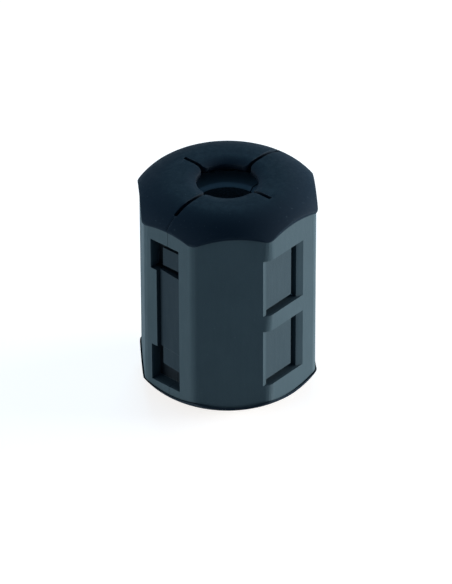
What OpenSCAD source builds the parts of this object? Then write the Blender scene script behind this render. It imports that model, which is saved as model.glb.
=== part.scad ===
// Clip-on ferrite core: two half cores in a hinged two-part case that clips round a cable.
// Lengths in millimetres. The bore runs along Z and the part stands on its lower end at Z = 0.
// The parting plane is Y = 0, the latch is on the -X side and the hinge on the +X side.

/* [Case] */
// Overall length along the cable
case_length = 33; // [28:0.5:45]
// Width across the flats of the eight-sided case, from front to back
across_flats = 24.3; // [22.5:0.1:36]
// How much further out the latch face and the hinge face lie than the other six faces
latch_proud = 0.52; // [0.2:0.02:1]
// Rounding of the long edges of the case
edge_r = 2; // [0.6:0.1:3]
// Wall between the core's seat and the case's flats
case_wall = 1.9; // [1.4:0.05:3]
// Run of each end's rounding, from the case's flats in to the flat ring
crest_run = 4.55; // [3:0.05:5]
// Radius of the rounding from the flat ring down to the faces
dome_r = 7; // [6:0.1:9]
// Width of the flat ring that the part stands on
ring_w = 1.4; // [1:0.1:2]
// Radius of the rounding from the flat ring down to the cable opening
dish_r = 3.2; // [2.8:0.1:6]
// How far the end caps stand proud of the faces
cap_lip = 0.22; // [0.1:0.02:0.4]
// Height of the end caps at the middle of the faces
cap_h = 2.1; // [1.8:0.02:3]
// Fall of the caps' edges from the middle of the faces to the corners, in degrees
cap_fall = 40; // [20:1:50]
// Gap between the closed half cases on the parting plane
parting_gap = 0.06; // [0.02:0.02:0.2]

/* [Cable grip] */
// Diameter of the cable opening in each end
opening_d = 8.8; // [6:0.1:12]
// Thickness of the four grip petals round the opening
petal_t = 1.3; // [0.8:0.1:2]
// Outer radius of the free space under the petals
petal_r = 8.3; // [7:0.1:11]
// Width of the slots between the petals
slot_w = 0.6; // [0.3:0.05:1]
// Distance from the ends of the parting slots to the case's flats
slot_stop = 1.15; // [0.8:0.05:3]
// Distance from the ends of the cross slots to the case's flats
cross_stop = 4.15; // [2:0.05:5]
// Rounding of the petals' corners at the opening
petal_corner_r = 0.7; // [0.3:0.1:1.2]

/* [Ferrite core] */
// Inner diameter of the split ring core
core_id = 9.9; // [6.5:0.1:14]
// Length of the core
core_length = 24.5; // [18:0.1:38]
// Chamfer on the core's end edges
core_chamfer = 0.5; // [0.2:0.1:1]
// Clearance between the core and its seat in the case
core_clear = 0.15; // [0.05:0.01:0.4]

/* [Latch] */
// Top of the latch window above the middle
window_top = 11.3; // [10:0.1:13]
// Bottom of the latch window below the middle
window_low = 12.5; // [10:0.1:13]
// Reach of the hook pockets into the rear case
pocket_reach = 3.2; // [2.6:0.1:4]
// Reach of the window into the front case
window_front = 2; // [1.4:0.1:2.6]
// Depth of the latch window below the latch face
window_depth = 1.75; // [1.5:0.05:1.9]
// Half height of the middle tongue
tongue_half = 6.45; // [4:0.05:8]
// Reach of the middle tongue over the rear case
tongue_reach = 2; // [1:0.1:2.6]
// How far the tongue's tip lies below the latch face
tongue_sink = 0.6; // [0.2:0.05:0.9]
// How far the tongue's root lies below the latch face
tongue_root_sink = 0.12; // [0.05:0.01:0.3]
// Seam round the tongue
tongue_gap = 0.15; // [0.08:0.01:0.3]
// Height of each hook
hook_h = 2.9; // [2:0.1:4]
// Gap between a hook and the tongue
hook_gap = 0.85; // [0.3:0.05:1.2]
// Reach of the hooks over the rear case
hook_reach = 1.5; // [1.2:0.1:2.2]
// Thickness of the hook arms
hook_t = 0.55; // [0.4:0.05:0.7]
// How far the hooks lie below the latch face
hook_sink = 0.7; // [0.3:0.05:0.8]
// Height of the barb under each hook and of the ledge that it grips
barb_h = 0.38; // [0.2:0.02:0.4]
// Length of the barb along the hook
barb_l = 0.6; // [0.4:0.05:0.8]
// Clearance between a hook and its ledge
hook_clear = 0.1; // [0.05:0.01:0.2]

/* [Spring tabs] */
// How far the tabs lie below the case's flats
tab_sink = 0.65; // [0.3:0.05:0.8]
// Height of each tab window
tab_window_h = 9.25; // [6:0.05:10]
// Half height of the bar between the two tab windows
tab_bar_half = 1.3; // [0.8:0.1:3]
// How far the tab windows sit below the middle
tab_shift = 0.3; // [0:0.05:1]
// Edge of the tabs on the hinge side, from the case's middle
tab_edge = 0.3; // [-1:0.1:1.5]
// Width of the slit beside and below each tab
tab_slit = 0.85; // [0.4:0.05:1.2]
// Width of the bevel beside the slit
bevel_w = 1; // [0.6:0.05:1.6]
// Depth of the bevel at the slit
bevel_depth = 0.45; // [0.2:0.05:0.6]

/* [Hinge] */
// Diameter of the hinge bar
hinge_bar_d = 1.6; // [1.2:0.1:2.4]
// Wall of the claws and lugs round the hinge bar
hinge_wall = 0.8; // [0.6:0.1:1.2]
// Distance from the hinge face to the bar's axis
hinge_out = 0.9; // [0.7:0.1:1.6]
// Length of each hinge claw
claw_l = 4.2; // [3:0.1:6]
// Distance between the two claws
claw_apart = 3.6; // [2:0.1:8]
// Length of each hinge lug
lug_l = 2.2; // [1.5:0.1:3]
// Mouth of the claws, narrower than the bar so that they clip over it
claw_mouth = 1.3; // [1:0.05:2]
// Running clearance round the hinge bar
hinge_clear = 0.06; // [0.03:0.01:0.1]
// Clearance between claws, lugs and the opposite half
hinge_side = 0.25; // [0.1:0.05:0.4]

/* [Hidden] */
$fn = 96;
big = 200;
// how far cuts run past a surface and joined pieces run into each other
past = 1;
root = 0.5;
flat_a = across_flats / 2;
half_l = case_length / 2;
mid_gap = parting_gap / 2;
opening_r = opening_d / 2;
crest_r = flat_a - crest_run;
ring_in = crest_r - ring_w;
slot_reach = flat_a - slot_stop;
cross_reach = flat_a - cross_stop;
latch_a = flat_a + latch_proud;
seat_r = flat_a - case_wall;
core_r = seat_r - core_clear;
seat_half = core_length / 2 + core_clear;
face_w = 2 * flat_a * tan(22.5);
pocket_x = -latch_a + window_depth;
hook_z = tongue_half + hook_gap;
hook_x = -latch_a + hook_sink;
hook_in_x = hook_x + hook_t;
ledge_x = hook_in_x + hook_clear;
tab_a = flat_a - tab_sink;
tab_top = tab_bar_half + tab_window_h;
hinge_x = latch_a + hinge_out;
bar_r = hinge_bar_d / 2;
claw_bore_r = bar_r + hinge_clear;
knuckle_r = bar_r + hinge_wall;
relief_r = knuckle_r + hinge_side;
claw_start = claw_apart / 2;
claw_end = claw_start + claw_l;
lug_start = claw_end + hinge_side;
lug_end = lug_start + lug_l;
plastic = [0.13, 0.19, 0.24];
ferrite = [0.16, 0.16, 0.17];

// Eight-sided outline with rounded corners, a is half the width across flats
// and ax the distance of the latch and hinge faces
module octagon(ax, a, r) {
    c = r * cos(45);
    // centres of the roundings beside the latch face and beside the front face
    p = [ax - r, sqrt(2) * (a - r) - (ax - r)];
    q = [(sqrt(2) - 1) * (a - r), a - r];
    square([2 * ax, 2 * p[1]], center = true);
    square([2 * q[0], 2 * a], center = true);
    for (sx = [-1, 1], sy = [-1, 1]) {
        scale([sx, sy]) {
            polygon([[0, 0], p, [p[0] + c, p[1] + c], [q[0] + c, q[1] + c], q]);
            translate(p) circle(r);
            translate(q) circle(r);
        }
    }
}

// Prism of the eight-sided outline, grown by g
module octagon_bar(g) {
    translate([0, 0, -half_l - past]) linear_extrude(case_length + 2 * past)
        octagon(latch_a + g, flat_a + g, edge_r);
}

// Round body with ring shaped ends: a flat ring that falls away in a wide rounding
// to the faces and in a smaller one to the cable opening
module ring_ends() {
    rotate_extrude() for (s = [0, 1]) {
        mirror([0, s]) {
            translate([0, -root]) square([crest_r + dome_r, half_l - dome_r + root]);
            translate([ring_in, 0]) square([ring_w, half_l]);
            intersection() {
                translate([crest_r, half_l - dome_r]) circle(dome_r);
                translate([crest_r - root, 0]) square([dome_r + root, half_l]);
            }
            intersection() {
                translate([ring_in, half_l - dish_r]) circle(dish_r);
                translate([0, half_l - dish_r]) square([ring_in + root, dish_r]);
            }
            square([ring_in, half_l - dish_r]);
        }
    }
}

// Space below the edges of the end caps
module below_caps() {
    reach = flat_a + crest_run;
    z = half_l - cap_h;
    t = tan(cap_fall);
    rotate_extrude() for (s = [0, 1]) {
        mirror([0, s]) polygon([
            [0, -root], [reach, -root], [reach, z - crest_run * t], [0, z + flat_a * t]
        ]);
    }
}

// Block from x0 to x1, y0 to y1, z0 to z1
module block(x0, x1, y0, y1, z0, z1) {
    translate([x0, y0, z0]) cube([x1 - x0, y1 - y0, z1 - z0]);
}

// Outside of the closed case without hinge
module case_outside() {
    intersection() {
        union() {
            octagon_bar(0);
            // proud caps
            difference() {
                octagon_bar(cap_lip);
                below_caps();
            }
        }
        ring_ends();
    }
}

// Space for the core and the free space under the petals
module case_inside() {
    translate([0, 0, -seat_half]) cylinder(h = 2 * seat_half, r = seat_r);
    translate([0, 0, petal_t - half_l]) cylinder(h = case_length - 2 * petal_t, r = petal_r);
    cylinder(h = case_length + 2 * past, r = opening_r, center = true);
}

// Rounded corners where the four slots meet the opening
module petal_corners() {
    r = petal_corner_r;
    reach = slot_w / 2 + r;
    out = sqrt((opening_r + r) * (opening_r + r) - reach * reach);
    for (i = [0 : 3]) {
        rotate(90 * i) difference() {
            translate([0, -reach]) square([out, 2 * reach]);
            for (s = [-1, 1]) {
                translate([out, s * reach]) circle(r);
            }
        }
    }
}

// Slots between the petals on both ends
module petal_slots() {
    for (s = [-1, 1]) {
        zs = s > 0 ? half_l - petal_t : -half_l - past;
        translate([-slot_reach, -slot_w / 2, zs]) cube([2 * slot_reach, slot_w, petal_t + past]);
        translate([-slot_w / 2, -cross_reach, zs]) cube([slot_w, 2 * cross_reach, petal_t + past]);
        translate([0, 0, zs]) linear_extrude(petal_t + past) petal_corners();
    }
}

// Two sunk windows on the face at -Y, each with a slit beside and below its tab
module tab_windows() {
    for (z0 = [tab_bar_half - tab_shift, -tab_top - tab_shift]) {
        z1 = z0 + tab_window_h;
        x1 = tab_edge + tab_slit;
        block(-big / 2, x1, -big / 2, -tab_a, z0, z1);
        block(tab_edge, x1, -big / 2, -seat_r + past, z0, z1);
        block(-face_w / 2, x1, -big / 2, -seat_r + past, z0, z0 + tab_slit);
        // bevel from the slit up to the frame
        translate([0, 0, z0]) linear_extrude(tab_window_h)
            polygon([
                [x1, bevel_depth - flat_a],
                [x1 + bevel_w, -flat_a],
                [x1 + bevel_w, -flat_a - past],
                [x1, -flat_a - past]
            ]);
    }
}

// Hinge knuckle: a round barrel with a web back to the case, on the -Y side
module knuckle(z0, z1) {
    translate([hinge_x, 0, z0]) cylinder(h = z1 - z0, r = knuckle_r);
    block(latch_a - root, hinge_x, -knuckle_r, -mid_gap, z0, z1);
}

module front_latch() {
    // middle tongue, sloped down to its tip
    tongue_bar(tongue_reach, pocket_x - tongue_gap, -tongue_half, tongue_half);
    // lower hook, in line with the tongue
    tongue_bar(hook_reach, hook_in_x, -tongue_half - hook_h, -tongue_half);
    // upper hook, set deeper and clear of the tongue
    block(hook_x, hook_in_x, -window_front - root, hook_reach, hook_z, hook_z + hook_h);
    // barbs
    for (z0 = [hook_z, -tongue_half - hook_h]) {
        block(hook_x, hook_in_x + barb_h, hook_reach - barb_l, hook_reach, z0, z0 + hook_h);
    }
}

// Bar of the latch from the front window's edge to y1, its outside sloped down to the tip
module tongue_bar(y1, x1, z0, z1) {
    y0 = -window_front - root;
    fall = (tongue_sink - tongue_root_sink) / (tongue_reach - y0);
    translate([0, 0, z0]) linear_extrude(z1 - z0) polygon([
        [tongue_root_sink - latch_a, y0],
        [tongue_root_sink - latch_a + fall * (y1 - y0), y1],
        [x1, y1],
        [x1, y0]
    ]);
}

module front_window() {
    block(-big / 2, pocket_x, -window_front, 0, -window_low, window_top);
}

module rear_window() {
    block(-big / 2, pocket_x, -past, pocket_reach, -window_low, -tongue_half);
    block(-big / 2, pocket_x, -past, pocket_reach, tongue_half, window_top);
    block(-big / 2, pocket_x, -past, tongue_reach + tongue_gap, -window_low, window_top);
}

// Ledges that the barbs grip
module rear_ledges() {
    for (z0 = [hook_z, -tongue_half - hook_h]) {
        block(ledge_x, pocket_x + root, mid_gap, hook_reach - barb_l - hook_clear, z0, z0 + hook_h);
    }
}

module front_half() {
    block(-big, big, -big, -mid_gap, -big, big);
}

module rear_half() {
    block(-big, big, mid_gap, big, -big, big);
}

module front_shell() {
    color(plastic) translate([0, 0, half_l]) {
        difference() {
            union() {
                difference() {
                    intersection() {
                        case_outside();
                        front_half();
                    }
                    front_window();
                    // room for the rear lugs
                    for (s = [-1, 1]) {
                        translate([hinge_x, 0, s * (lug_start + lug_end) / 2])
                            cylinder(h = lug_l + 2 * hinge_side, r = relief_r, center = true);
                    }
                }
                front_latch();
                for (z0 = [claw_start, -claw_end]) {
                    knuckle(z0, z0 + claw_l);
                }
            }
            case_inside();
            petal_slots();
            tab_windows();
            // bore and mouth of the claws
            translate([hinge_x, 0, -claw_end - past]) cylinder(h = 2 * (claw_end + past), r = claw_bore_r);
            block(hinge_x - claw_mouth / 2, hinge_x + claw_mouth / 2, 0, big, -claw_end - past, claw_end + past);
        }
    }
}

module rear_shell() {
    color(plastic) translate([0, 0, half_l]) {
        difference() {
            union() {
                difference() {
                    intersection() {
                        case_outside();
                        rear_half();
                    }
                    rear_window();
                    // room for the front claws
                    for (s = [-1, 1]) {
                        translate([hinge_x, 0, s * (claw_start + claw_end) / 2])
                            cylinder(h = claw_l + 2 * hinge_side, r = relief_r, center = true);
                    }
                }
                rear_ledges();
                for (z0 = [lug_start, -lug_end]) {
                    mirror([0, 1, 0]) knuckle(z0, z0 + lug_l);
                }
                translate([hinge_x, 0, -lug_end]) cylinder(h = 2 * lug_end, r = bar_r);
            }
            case_inside();
            petal_slots();
            mirror([0, 1, 0]) tab_windows();
        }
    }
}

// Half ring of ferrite on the -Y side
module half_core() {
    h = core_length / 2;
    r0 = core_id / 2;
    r1 = core_r;
    c = core_chamfer;
    intersection() {
        rotate_extrude() polygon([
            [r0 + c, -h], [r1 - c, -h], [r1, c - h], [r1, h - c],
            [r1 - c, h], [r0 + c, h], [r0, h - c], [r0, c - h]
        ]);
        front_half();
    }
}

module front_core() {
    color(ferrite) translate([0, 0, half_l]) half_core();
}

module rear_core() {
    color(ferrite) translate([0, 0, half_l]) mirror([0, 1, 0]) half_core();
}

rear_shell();
front_shell();
rear_core();
front_core();
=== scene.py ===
"""Looks of a clip-on ferrite core: a hinged two-part plastic case with a split ferrite ring inside."""

import math

import bpy
import numpy as np
from bpy.props import FloatProperty, FloatVectorProperty, PointerProperty
from mathutils import Matrix, Vector


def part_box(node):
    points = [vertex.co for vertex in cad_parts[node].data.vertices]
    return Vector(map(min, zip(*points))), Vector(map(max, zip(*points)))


bl_info = {
    "name": "Clip-on Ferrite Core",
    "version": (1, 0, 0),
    "blender": (4, 5, 0),
    "location": "3D View > Sidebar > Ferrite",
    "description": "Dresses a hinged ferrite case and its split core, and sets a plain stage",
    "category": "Object",
}

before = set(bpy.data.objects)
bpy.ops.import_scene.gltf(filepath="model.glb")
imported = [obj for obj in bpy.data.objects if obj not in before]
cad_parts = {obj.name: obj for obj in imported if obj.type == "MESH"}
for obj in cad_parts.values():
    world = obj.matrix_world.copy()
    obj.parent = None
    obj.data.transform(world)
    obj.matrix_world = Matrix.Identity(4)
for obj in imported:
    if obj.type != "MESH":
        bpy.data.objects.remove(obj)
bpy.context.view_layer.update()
shell_low, shell_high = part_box("rear_shell")
core_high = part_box("rear_core")[1]

MM = 0.001
# the picture's longer side, and how far the part's middle lies right of and above its middle, in pixels
PHOTO_H = 584
PICTURE_SHIFT = (1.7, 16.5)
SENSOR_MM = 36.0

# middle height of the case, the lip by which its caps stand out, half its width across the flats,
# how much further out its latch and hinge faces lie, and height of the caps' edges from the middle
MIDDLE = 0.5 * (shell_low[2] + shell_high[2])
CAP_LIP = 0.22 * MM
FLAT = shell_high[1] - CAP_LIP
LATCH_PROUD = 0.52 * MM
CAP_EDGE = 14.4 * MM

# middle and half size of the latch recess, just below the outer face, and the stretch of x over
# which its painted shade darkens to the darker painted shade of its pockets
RECESS_MIDDLE = (-11.05 * MM, 0.6 * MM, MIDDLE - 0.6 * MM)
RECESS_REACH = (1.55 * MM, 2.58 * MM, 11.88 * MM)
POCKET_SHADE_START = -11.9 * MM
POCKET_SHADE_FULL = -11.5 * MM

# depths below the outer faces between which the painted shade on sunk faces darkens, and the most of the
# painted recess shade they take
SUNK_SHADE_START = 0.25 * MM
SUNK_SHADE_END = 0.55 * MM
SUNK_SHADE_SHARE = 0.5

# radii between which the caps' shine falls from that of the faces to that of the rims
SHINE_START = 8.0 * MM
SHINE_END = 11.5 * MM
FACE_SHINE = 0.1
RIM_SHINE = 0.03

# widths of dust specks and scuffs in millimetres, width of a rubbed edge, and depth of surface grain
SPECK = 0.45
SCUFF = 0.6
RUB_WIDTH = 0.22 * MM
GRAIN_DEPTH = 0.03 * MM

# how near the parting plane a face counts as ground, how deep the core's ends with painted light reach, and
# their shine
GROUND_REACH = 0.1 * MM
END_REACH = 0.55 * MM
CORE_END = core_high[2] - MIDDLE - END_REACH
CORE_SHINE = 0.2
END_SHINE = 0.5

# how close points are joined, how even a face counts as flat, and how sharp an edge is rounded
JOIN_REACH = 0.002 * MM
FLAT_TURN = math.radians(0.4)
SHARP_TURN = math.radians(28)

# height of the backdrop, share of white that the floor adds of its own, and its tints
BACKDROP_RISE = 0.4
FLOOR_LIFT = 0.82
SEEN_WHITE = (0.98, 0.95, 0.92)
MIRRORED_WHITE = (0.75, 0.9, 1.0)

# colours of the light, and place, size and colour of each soft light, in metres
PLAIN = (1.0, 1.0, 1.0)
COOL = (0.35, 0.75, 1.0)
ROOM_COOL = (0.25, 0.6, 1.0)
SOFT_LIGHTS = {
    "right": ((0.5, -0.42, 0.07), (0.4, 0.14), PLAIN),
    "left": ((-0.5, 0.36, 0.08), (0.4, 0.14), PLAIN),
    "back": ((0.49, 0.42, 0.5), (0.5, 0.35), COOL),
}

SHELLS = ("rear_shell", "front_shell")
CORES = ("rear_core", "front_core")


def linear(hex_code):
    """Turns an sRGB hex colour such as 30475A into linear red, green and blue."""
    parts = np.array([int(hex_code[i:i + 2], 16) for i in (0, 2, 4)]) / 255.0
    low = parts / 12.92
    high = ((parts + 0.055) / 1.055) ** 2.4
    return tuple(float(v) for v in np.where(parts <= 0.04045, low, high))


def rgba(colour):
    """Adds full opacity to a red, green and blue value."""
    return (colour[0], colour[1], colour[2], 1.0)


def per_mm(size):
    """Noise scale, in cells per metre, for a pattern whose cells are this many millimetres wide."""
    return 1.0 / (size * MM)


def add(tree, kind, feeds=None, **settings):
    """Adds one node, sets its own settings, and fills its inputs with values or links."""
    node = tree.nodes.new(kind)
    for key, value in settings.items():
        setattr(node, key, value)
    for key, value in (feeds or {}).items():
        if isinstance(value, bpy.types.NodeSocket):
            tree.links.new(value, node.inputs[key])
        else:
            node.inputs[key].default_value = value
    return node


def new_material(name):
    """Empty node material and its tree."""
    material = bpy.data.materials.new(name)
    material.use_nodes = True
    material.node_tree.nodes.clear()
    return material, material.node_tree


class CaseSettings(bpy.types.PropertyGroup):
    """Sizes and colours of the moulded case."""

    colour: FloatVectorProperty(
        name="Plastic", description="Main colour of the case", subtype="COLOR",
        default=linear("39484E"), min=0.0, max=1.0)
    deep_colour: FloatVectorProperty(
        name="Plastic, deep", description="Darker patches in the moulding", subtype="COLOR",
        default=linear("324147"), min=0.0, max=1.0)
    # painted shade: darker colour of the upward-facing end caps, which get little light from above
    cap_shade_colour: FloatVectorProperty(
        name="End caps", description="Painted shade on the upward-facing end caps", subtype="COLOR",
        default=linear("111D27"), min=0.0, max=1.0)
    # painted shade in the latch window and on faces sunk below the outer octagon
    recess_shade_colour: FloatVectorProperty(
        name="Latch recess", description="Painted shade in the latch window and on sunk faces", subtype="COLOR",
        default=linear("1B282F"), min=0.0, max=1.0)
    # painted shade on the deepest faces of the latch recess
    pocket_shade_colour: FloatVectorProperty(
        name="Latch pockets", description="Painted shade on the deepest faces of the latch recess", subtype="COLOR",
        default=linear("0A1319"), min=0.0, max=1.0)
    dust_colour: FloatVectorProperty(
        name="Dust", description="Pale specks and rubbed edges", subtype="COLOR",
        default=linear("5C6C72"), min=0.0, max=1.0)
    edge_round: FloatProperty(
        name="Edge rounding", description="Rounding of the moulded edges",
        subtype="DISTANCE", unit="LENGTH", default=0.14 * MM, precision=5)
    grain: FloatProperty(
        name="Grain", description="Grain of the mould surface in millimetres",
        default=0.3, min=0.02, max=1.0)
    mottle: FloatProperty(
        name="Mottle", description="Size of the colour patches in millimetres",
        default=5.0, min=0.5, max=30.0)


class CoreSettings(bpy.types.PropertyGroup):
    """Sizes and colours of the ferrite."""

    colour: FloatVectorProperty(
        name="Ferrite", description="Sintered surface", subtype="COLOR",
        default=linear("303438"), min=0.0, max=1.0)
    fleck_colour: FloatVectorProperty(
        name="Fleck", description="Paler grains in the sintered surface", subtype="COLOR",
        default=linear("54585D"), min=0.0, max=1.0)
    ground_colour: FloatVectorProperty(
        name="Ground face", description="Ground mating faces", subtype="COLOR",
        default=linear("3A3E43"), min=0.0, max=1.0)
    # painted light: paler colour of the core's chamfered ends, so that they show lit inside the opening
    end_light_colour: FloatVectorProperty(
        name="Core ends, painted light", description="Painted light on the chamfered ends", subtype="COLOR",
        default=linear("82878C"), min=0.0, max=1.0)
    edge_round: FloatProperty(
        name="Edge rounding", description="Rounding of the pressed edges",
        subtype="DISTANCE", unit="LENGTH", default=0.1 * MM, precision=5)
    grain: FloatProperty(
        name="Grain", description="Grain of the sintered surface in millimetres",
        default=0.3, min=0.02, max=1.0)
    cut_spacing: FloatProperty(
        name="Grinding lines", description="Spacing of the grinding lines in millimetres",
        default=0.4, min=0.02, max=1.0)


class StageSettings(bpy.types.PropertyGroup):
    """Camera, floor and lights."""

    azimuth: FloatProperty(
        name="Azimuth", description="Camera direction round the part", subtype="ANGLE",
        default=math.radians(-48.9))
    elevation: FloatProperty(
        name="Elevation", description="Camera height angle", subtype="ANGLE",
        default=math.radians(34.3))
    roll: FloatProperty(
        name="Roll", description="Turn of the camera about its own axis", subtype="ANGLE",
        default=math.radians(-0.2))
    distance: FloatProperty(
        name="Distance", description="From the camera to the part", subtype="DISTANCE",
        unit="LENGTH", default=0.737)
    pixel: FloatProperty(
        name="Pixel", description="Size of one picture point at the part", subtype="DISTANCE",
        unit="LENGTH", default=0.1416 * MM, precision=6)
    floor_radius: FloatProperty(
        name="Floor radius", description="Radius of the flat floor", subtype="DISTANCE",
        unit="LENGTH", default=1.2)
    floor_colour: FloatVectorProperty(
        name="Floor", description="Matt floor and backdrop", subtype="COLOR",
        default=linear("B8B8B8"), min=0.0, max=1.0)
    right_power: FloatProperty(
        name="Right light", description="Soft light on the camera's right, in watts", default=12.2)
    left_power: FloatProperty(
        name="Left light", description="Soft light on the camera's left, in watts", default=3.8)
    back_power: FloatProperty(
        name="Back light", description="Soft light behind and above the part, in watts", default=2.4)
    room_light: FloatProperty(
        name="Room light", description="Even light from all round", default=0.28)


def round_edges(node, width, segments=2):
    """Joins a solid's loose triangles and rounds its sharp edges, all by modifiers."""
    weld = node.modifiers.new("join", "WELD")
    weld.merge_threshold = JOIN_REACH
    flat = node.modifiers.new("flat_faces", "DECIMATE")
    flat.decimate_type = "DISSOLVE"
    flat.angle_limit = FLAT_TURN
    bevel = node.modifiers.new("moulded_edges", "BEVEL")
    bevel.width = width
    bevel.segments = segments
    bevel.limit_method = "ANGLE"
    bevel.angle_limit = SHARP_TURN
    bevel.harden_normals = True


def height_from_middle(tree, axes):
    """Distance above or below the middle of the part's length: the size of z less the middle."""
    level = add(tree, "ShaderNodeMath", {0: axes.outputs[2], 1: MIDDLE}, operation="SUBTRACT")
    return add(tree, "ShaderNodeMath", {0: level.outputs[0]}, operation="ABSOLUTE").outputs[0]


def cap_mask(tree, height, radius):
    """One on the end caps: above their edges, or outside a 45 degree cone through the edge at the flats."""
    slope = add(tree, "ShaderNodeMath", {0: height, 1: radius}, operation="ADD")
    above = add(tree, "ShaderNodeMath", {0: height, 1: CAP_EDGE}, operation="GREATER_THAN")
    beyond = add(tree, "ShaderNodeMath", {
        0: slope.outputs[0], 1: CAP_EDGE + FLAT}, operation="GREATER_THAN")
    return add(tree, "ShaderNodeMath", {
        0: above.outputs[0], 1: beyond.outputs[0]}, operation="MAXIMUM").outputs[0]


def sunk_shade_share(tree, plan):
    """Share of the painted recess shade: how far the largest of x, y and their slanted sum is below the
    flats.
    """
    sides = add(tree, "ShaderNodeVectorMath", {0: plan}, operation="ABSOLUTE")
    flats = add(tree, "ShaderNodeSeparateXYZ", {0: sides.outputs[0]})
    latch_side = add(tree, "ShaderNodeMath", {
        0: flats.outputs[0], 1: LATCH_PROUD}, operation="SUBTRACT")
    straight = add(tree, "ShaderNodeMath", {
        0: latch_side.outputs[0], 1: flats.outputs[1]}, operation="MAXIMUM")
    slanted = add(tree, "ShaderNodeVectorMath", {
        0: sides.outputs[0], 1: (math.sqrt(0.5), math.sqrt(0.5), 0.0)}, operation="DOT_PRODUCT")
    outside = add(tree, "ShaderNodeMath", {
        0: straight.outputs[0], 1: slanted.outputs["Value"]}, operation="MAXIMUM")
    return add(tree, "ShaderNodeMapRange", {
        "Value": outside.outputs[0], "From Min": FLAT - SUNK_SHADE_START, "From Max": FLAT - SUNK_SHADE_END,
        "To Min": 0.0, "To Max": SUNK_SHADE_SHARE}).outputs[0]


def recess_shade_mask(tree, place):
    """One inside the box of the latch recess, where its painted shade goes: within its half size of its
    middle on every axis.
    """
    span = add(tree, "ShaderNodeVectorMath", {0: place, 1: RECESS_MIDDLE}, operation="SUBTRACT")
    spread = add(tree, "ShaderNodeVectorMath", {0: span.outputs[0]}, operation="ABSOLUTE")
    parts = add(tree, "ShaderNodeSeparateXYZ", {0: spread.outputs[0]})
    inside = 1.0
    for output, reach in zip(parts.outputs, RECESS_REACH):
        near = add(tree, "ShaderNodeMath", {0: output, 1: reach}, operation="LESS_THAN")
        inside = add(tree, "ShaderNodeMath", {
            0: near.outputs[0], 1: inside}, operation="MULTIPLY").outputs[0]
    return inside


def worn_share(tree, place):
    """Share of the pale tone: dust specks, and edges where the rounded normal leaves the face's own."""
    specks = add(tree, "ShaderNodeTexNoise", {
        "Vector": place, "Scale": per_mm(SPECK), "Detail": 1.0, "Roughness": 0.4})
    dust = add(tree, "ShaderNodeMapRange", {
        "Value": specks.outputs[0], "From Min": 0.72, "From Max": 0.84, "To Min": 0.0, "To Max": 0.12})
    soft = add(tree, "ShaderNodeBevel", {"Radius": RUB_WIDTH}, samples=4)
    own = add(tree, "ShaderNodeNewGeometry").outputs["Normal"]
    facing = add(tree, "ShaderNodeVectorMath", {0: soft.outputs[0], 1: own}, operation="DOT_PRODUCT")
    rub = add(tree, "ShaderNodeMapRange", {
        "Value": facing.outputs["Value"], "From Min": 0.99, "From Max": 0.8, "To Min": 0.0, "To Max": 0.08})
    return add(tree, "ShaderNodeMath", {
        0: dust.outputs[0], 1: rub.outputs[0]}, operation="MAXIMUM").outputs[0]


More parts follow.
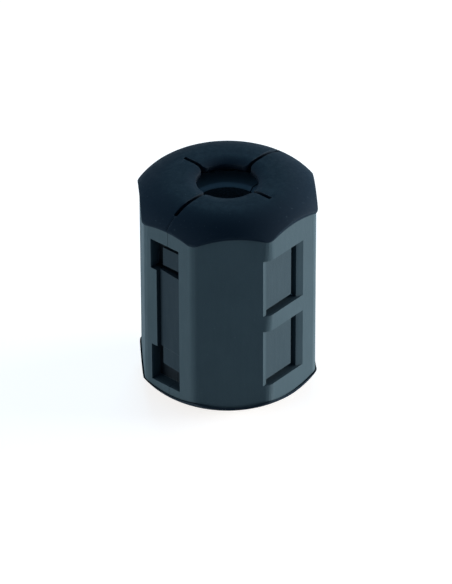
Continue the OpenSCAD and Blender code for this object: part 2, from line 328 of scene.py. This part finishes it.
def moulded_nylon(look):
    """Nylon 66, injection moulded in a spark-eroded tool: satin, finely grained, rubbed on its edges."""
    material, tree = new_material("moulded_nylon_satin")
    place = add(tree, "ShaderNodeTexCoord").outputs["Object"]
    axes = add(tree, "ShaderNodeSeparateXYZ", {0: place})
    plan = add(tree, "ShaderNodeVectorMath", {
        0: place, 1: (1.0, 1.0, 0.0)}, operation="MULTIPLY").outputs[0]
    radius = add(tree, "ShaderNodeVectorMath", {0: plan}, operation="LENGTH").outputs["Value"]
    # patches where the melt cooled at its own pace, so that no face is one flat tone
    patches = add(tree, "ShaderNodeTexNoise", {
        "Vector": place, "Scale": per_mm(look.mottle), "Detail": 3.0, "Roughness": 0.55})
    body = add(tree, "ShaderNodeMix", {
        0: patches.outputs[0], 6: rgba(look.deep_colour), 7: rgba(look.colour)}, data_type="RGBA")
    # painted shade: faces that lie below the outer octagon are darker the deeper they lie, and the
    # upward-facing end caps are darker too
    face = add(tree, "ShaderNodeMix", {
        0: sunk_shade_share(tree, plan), 6: body.outputs[2], 7: rgba(look.recess_shade_colour)}, data_type="RGBA")
    # painted shade on the upward-facing end caps: their darker colour stands in for the little light that
    # falls on them from above
    on_cap = cap_mask(tree, height_from_middle(tree, axes), radius)
    skin = add(tree, "ShaderNodeMix", {
        0: on_cap, 6: face.outputs[2], 7: rgba(look.cap_shade_colour)}, data_type="RGBA")
    # painted shade: the latch recess is darker than the outer faces, and its pockets darkest
    pocket = add(tree, "ShaderNodeMapRange", {
        "Value": axes.outputs[0], "From Min": POCKET_SHADE_START, "From Max": POCKET_SHADE_FULL,
        "To Min": 0.0, "To Max": 1.0})
    depths = add(tree, "ShaderNodeMix", {
        0: pocket.outputs[0], 6: rgba(look.recess_shade_colour), 7: rgba(look.pocket_shade_colour)}, data_type="RGBA")
    tone = add(tree, "ShaderNodeMix", {
        0: recess_shade_mask(tree, place), 6: skin.outputs[2], 7: depths.outputs[2]}, data_type="RGBA")
    colour = add(tree, "ShaderNodeMix", {
        0: worn_share(tree, place), 6: tone.outputs[2], 7: rgba(look.dust_colour)}, data_type="RGBA")
    # scuffs along the length change the gloss
    turned = add(tree, "ShaderNodeMapping", {"Vector": place, "Scale": (1.0, 1.0, 0.12)})
    scuffs = add(tree, "ShaderNodeTexNoise", {
        "Vector": turned.outputs[0], "Scale": per_mm(SCUFF), "Detail": 4.0, "Roughness": 0.6})
    gloss = add(tree, "ShaderNodeMapRange", {
        "Value": scuffs.outputs[0], "From Min": 0.3, "From Max": 0.7, "To Min": 0.58, "To Max": 0.72})
    # the caps mirror less of the lamps towards their rims
    cap_shine = add(tree, "ShaderNodeMapRange", {
        "Value": radius, "From Min": SHINE_START, "From Max": SHINE_END,
        "To Min": FACE_SHINE, "To Max": RIM_SHINE})
    shine = add(tree, "ShaderNodeMix", {0: on_cap, 2: FACE_SHINE, 3: cap_shine.outputs[0]})
    # fine grain of the tool, drawn coarser than the real 0.03 mm so that it shows
    grain = add(tree, "ShaderNodeTexNoise", {
        "Vector": place, "Scale": per_mm(look.grain), "Detail": 2.0, "Roughness": 0.6})
    bump = add(tree, "ShaderNodeBump", {
        "Height": grain.outputs[0], "Strength": 0.5, "Distance": GRAIN_DEPTH})
    shader = add(tree, "ShaderNodeBsdfPrincipled", {
        "Base Color": colour.outputs[2], "Roughness": gloss.outputs[0], "IOR": 1.5,
        "Specular IOR Level": shine.outputs[0], "Normal": bump.outputs[0]})
    add(tree, "ShaderNodeOutputMaterial", {"Surface": shader.outputs[0]})
    return material


def sintered_ferrite(look):
    """Soft ferrite, pressed and sintered, ground on its mating faces: dull charcoal with fine flecks."""
    material, tree = new_material("sintered_ferrite_ground")
    place = add(tree, "ShaderNodeTexCoord").outputs["Object"]
    grain = add(tree, "ShaderNodeTexNoise", {
        "Vector": place, "Scale": per_mm(look.grain), "Detail": 4.0, "Roughness": 0.65})
    fleck = add(tree, "ShaderNodeMapRange", {
        "Value": grain.outputs[0], "From Min": 0.45, "From Max": 0.72, "To Min": 0.0, "To Max": 1.0})
    sintered = add(tree, "ShaderNodeMix", {
        0: fleck.outputs[0], 6: rgba(look.colour), 7: rgba(look.fleck_colour)}, data_type="RGBA")
    # the mating faces lie on the parting plane and carry straight grinding lines along the bore,
    # drawn coarser than the real 0.05 mm so that they show
    axes = add(tree, "ShaderNodeSeparateXYZ", {0: place})
    off = add(tree, "ShaderNodeMath", {0: axes.outputs[1]}, operation="ABSOLUTE")
    ground = add(tree, "ShaderNodeMath", {0: off.outputs[0], 1: GROUND_REACH}, operation="LESS_THAN")
    along = add(tree, "ShaderNodeMapping", {"Vector": place, "Scale": (1.0, 1.0, 0.01)})
    lines = add(tree, "ShaderNodeTexNoise", {
        "Vector": along.outputs[0], "Scale": per_mm(look.cut_spacing), "Detail": 3.0, "Roughness": 0.7})
    streaks = add(tree, "ShaderNodeMapRange", {
        "Value": lines.outputs[0], "From Min": 0.36, "From Max": 0.64, "To Min": 0.0, "To Max": 1.0})
    cut = add(tree, "ShaderNodeMix", {
        0: streaks.outputs[0], 6: rgba(look.colour), 7: rgba(look.ground_colour)}, data_type="RGBA")
    # painted light: the chamfered ends get a paler colour, and a higher shine, so that they show as a lit
    # arc inside the opening
    ends = add(tree, "ShaderNodeMath", {
        0: height_from_middle(tree, axes), 1: CORE_END}, operation="GREATER_THAN")
    pressed = add(tree, "ShaderNodeMix", {
        0: ends.outputs[0], 6: sintered.outputs[2], 7: rgba(look.end_light_colour)}, data_type="RGBA")
    end_shine = add(tree, "ShaderNodeMix", {0: ends.outputs[0], 2: CORE_SHINE, 3: END_SHINE})
    colour = add(tree, "ShaderNodeMix", {
        0: ground.outputs[0], 6: pressed.outputs[2], 7: cut.outputs[2]}, data_type="RGBA")
    shine = add(tree, "ShaderNodeMix", {
        0: ground.outputs[0], 2: end_shine.outputs[0], 3: CORE_SHINE})
    rough = add(tree, "ShaderNodeMapRange", {
        "Value": ground.outputs[0], "From Min": 0.0, "From Max": 1.0, "To Min": 0.6, "To Max": 0.54})
    height = add(tree, "ShaderNodeMix", {
        0: ground.outputs[0], 2: grain.outputs[0], 3: lines.outputs[0]})
    bump = add(tree, "ShaderNodeBump", {
        "Height": height.outputs[0], "Strength": 0.5, "Distance": GRAIN_DEPTH})
    shader = add(tree, "ShaderNodeBsdfPrincipled", {
        "Base Color": colour.outputs[2], "Roughness": rough.outputs[0], "IOR": 2.1,
        "Specular IOR Level": shine.outputs[0], "Normal": bump.outputs[0]})
    add(tree, "ShaderNodeOutputMaterial", {"Surface": shader.outputs[0]})
    return material


def matt_paper(look):
    """Matt paper floor: white where it is seen or mirrored, and still darkened by the part's shadow."""
    material, tree = new_material("matt_paper")
    paper = add(tree, "ShaderNodeBsdfDiffuse", {"Color": rgba(look.floor_colour)})
    path = add(tree, "ShaderNodeLightPath")
    mirrored = add(tree, "ShaderNodeMath", {
        0: path.outputs["Is Glossy Ray"], 1: path.outputs["Is Transmission Ray"]}, operation="MAXIMUM")
    seen = add(tree, "ShaderNodeMath", {
        0: path.outputs["Is Camera Ray"], 1: mirrored.outputs[0]}, operation="MAXIMUM")
    lift = add(tree, "ShaderNodeMath", {0: seen.outputs[0], 1: FLOOR_LIFT}, operation="MULTIPLY")
    # warm enough to come out white under the cool room light, and cool where it is mirrored
    white = add(tree, "ShaderNodeMix", {
        0: path.outputs["Is Camera Ray"], 6: rgba(MIRRORED_WHITE), 7: rgba(SEEN_WHITE)}, data_type="RGBA")
    glow = add(tree, "ShaderNodeEmission", {"Color": white.outputs[2], "Strength": lift.outputs[0]})
    both = add(tree, "ShaderNodeAddShader", {0: paper.outputs[0], 1: glow.outputs[0]})
    add(tree, "ShaderNodeOutputMaterial", {"Surface": both.outputs[0]})
    return material


def cove_surface(radius, rise, turns=96):
    """Floor and backdrop in one: a profile turned about Z, flat to the radius, then a quarter circle up.

    The first parameter runs along the profile, the second round the axis.
    """
    flat = np.linspace(0.0, 1.0, 24) ** 2 * radius
    arc = np.linspace(0.0, math.pi / 2, 16)[1:]
    r = np.concatenate([flat, radius + rise * np.sin(arc)])
    z = np.concatenate([np.zeros(len(flat)), rise * (1 - np.cos(arc))])
    angle = np.linspace(0.0, 2 * math.pi, turns, endpoint=False)
    points = np.stack([
        r[1:, None] * np.cos(angle), r[1:, None] * np.sin(angle),
        np.broadcast_to(z[1:, None], (len(r) - 1, turns))], axis=-1).reshape(-1, 3)
    points = np.concatenate([[[0.0, 0.0, 0.0]], points])
    rows, cols = np.meshgrid(np.arange(len(r) - 2), np.arange(turns), indexing="ij")
    near = 1 + rows * turns + cols
    side = 1 + rows * turns + (cols + 1) % turns
    quads = np.stack([near, near + turns, side + turns, side], axis=-1).reshape(-1, 4)
    first = np.arange(turns)
    fan = np.stack([np.zeros(turns, int), 1 + first, 1 + (first + 1) % turns], axis=-1)
    return points, fan.tolist() + quads.tolist()


def surface_object(name, points, faces):
    """Mesh object at the origin from points and faces, smooth shaded."""
    mesh = bpy.data.meshes.new(name)
    mesh.from_pydata(points.tolist(), [], faces)
    mesh.polygons.foreach_set("use_smooth", np.ones(len(mesh.polygons), bool))
    mesh.update()
    thing = bpy.data.objects.new(name, mesh)
    bpy.context.scene.collection.objects.link(thing)
    return thing


def soft_light(name, place, aim, size, power, colour):
    """Rectangular soft light at a place, turned to face the aim."""
    lamp = bpy.data.lights.new(name, "AREA")
    lamp.shape = "RECTANGLE"
    lamp.size = size[0]
    lamp.size_y = size[1]
    lamp.energy = power
    lamp.color = colour
    thing = bpy.data.objects.new(name, lamp)
    thing.location = place
    thing.rotation_mode = "QUATERNION"
    thing.rotation_quaternion = (Vector(aim) - Vector(place)).to_track_quat("-Z", "Y")
    bpy.context.scene.collection.objects.link(thing)
    return thing


class FERRITE_OT_case(bpy.types.Operator):
    """Dress the two half cases in moulded plastic with rounded edges"""

    bl_idname = "ferrite.case"
    bl_label = "Dress Case"

    def execute(self, context):
        look = context.scene.ferrite_case
        plastic = moulded_nylon(look)
        for name in SHELLS:
            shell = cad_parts[name]
            shell.data.materials.clear()
            shell.data.materials.append(plastic)
            round_edges(shell, look.edge_round)
        return {"FINISHED"}


class FERRITE_OT_core(bpy.types.Operator):
    """Dress the two half cores in sintered ferrite with ground mating faces"""

    bl_idname = "ferrite.core"
    bl_label = "Dress Core"

    def execute(self, context):
        look = context.scene.ferrite_core
        ferrite = sintered_ferrite(look)
        for name in CORES:
            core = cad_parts[name]
            core.data.materials.clear()
            core.data.materials.append(ferrite)
            round_edges(core, look.edge_round)
        return {"FINISHED"}


class FERRITE_OT_stage(bpy.types.Operator):
    """Set the floor, the lights and the camera"""

    bl_idname = "ferrite.stage"
    bl_label = "Set Stage"

    def execute(self, context):
        look = context.scene.ferrite_stage
        scene = context.scene
        floor = surface_object("paper_floor", *cove_surface(look.floor_radius, BACKDROP_RISE))
        floor.data.materials.append(matt_paper(look))
        middle = Vector((0.0, 0.0, MIDDLE))
        a, e = look.azimuth, look.elevation
        back = Vector((math.sin(a) * math.cos(e), -math.cos(a) * math.cos(e), math.sin(e)))
        right = Vector((math.cos(a), math.sin(a), 0.0))
        up = back.cross(right)
        # the part's middle sits a little right of and above the picture's middle
        shift_right, shift_up = PICTURE_SHIFT
        target = middle - right * (shift_right * look.pixel) - up * (shift_up * look.pixel)
        camera_data = bpy.data.cameras.new("camera")
        camera_data.sensor_width = SENSOR_MM
        camera_data.lens = look.distance / look.pixel / PHOTO_H * SENSOR_MM
        camera_data.clip_start = 0.01
        camera_data.clip_end = 20.0
        camera = bpy.data.objects.new("camera", camera_data)
        turn = Matrix((right, up, back)).transposed().to_4x4()
        camera.matrix_world = (
            Matrix.Translation(target + back * look.distance) @ turn @ Matrix.Rotation(look.roll, 4, "Z"))
        scene.collection.objects.link(camera)
        scene.camera = camera
        for side, (place, size, colour) in SOFT_LIGHTS.items():
            power = getattr(look, side + "_power")
            soft_light(side + "_soft_light", place, middle, size, power, colour)
        world = bpy.data.worlds.new("room")
        world.use_nodes = True
        world.node_tree.nodes["Background"].inputs[0].default_value = rgba(ROOM_COOL)
        world.node_tree.nodes["Background"].inputs[1].default_value = look.room_light
        scene.world = world
        scene.view_settings.view_transform = "Standard"
        return {"FINISHED"}


class FERRITE_PT_panel(bpy.types.Panel):
    """Lists the steps that dress the part"""

    bl_idname = "FERRITE_PT_panel"
    bl_label = "Clip-on Ferrite Core"
    bl_space_type = "VIEW_3D"
    bl_region_type = "UI"
    bl_category = "Ferrite"

    def draw(self, context):
        for label, settings, step in (
                ("Case", context.scene.ferrite_case, FERRITE_OT_case),
                ("Core", context.scene.ferrite_core, FERRITE_OT_core),
                ("Stage", context.scene.ferrite_stage, FERRITE_OT_stage)):
            box = self.layout.box()
            box.label(text=label)
            for key in settings.__annotations__:
                box.prop(settings, key)
            box.operator(step.bl_idname)


CLASSES = (
    CaseSettings, CoreSettings, StageSettings,
    FERRITE_OT_case, FERRITE_OT_core, FERRITE_OT_stage, FERRITE_PT_panel,
)


def register():
    """Makes the classes and the scene's settings known."""
    for item in CLASSES:
        bpy.utils.register_class(item)
    bpy.types.Scene.ferrite_case = PointerProperty(type=CaseSettings)
    bpy.types.Scene.ferrite_core = PointerProperty(type=CoreSettings)
    bpy.types.Scene.ferrite_stage = PointerProperty(type=StageSettings)


def unregister():
    """Takes the scene's settings and the classes away again."""
    del bpy.types.Scene.ferrite_stage
    del bpy.types.Scene.ferrite_core
    del bpy.types.Scene.ferrite_case
    for item in reversed(CLASSES):
        bpy.utils.unregister_class(item)


def main():
    register()
    bpy.ops.ferrite.case()
    bpy.ops.ferrite.core()
    bpy.ops.ferrite.stage()


if __name__ == "__main__":
    main()
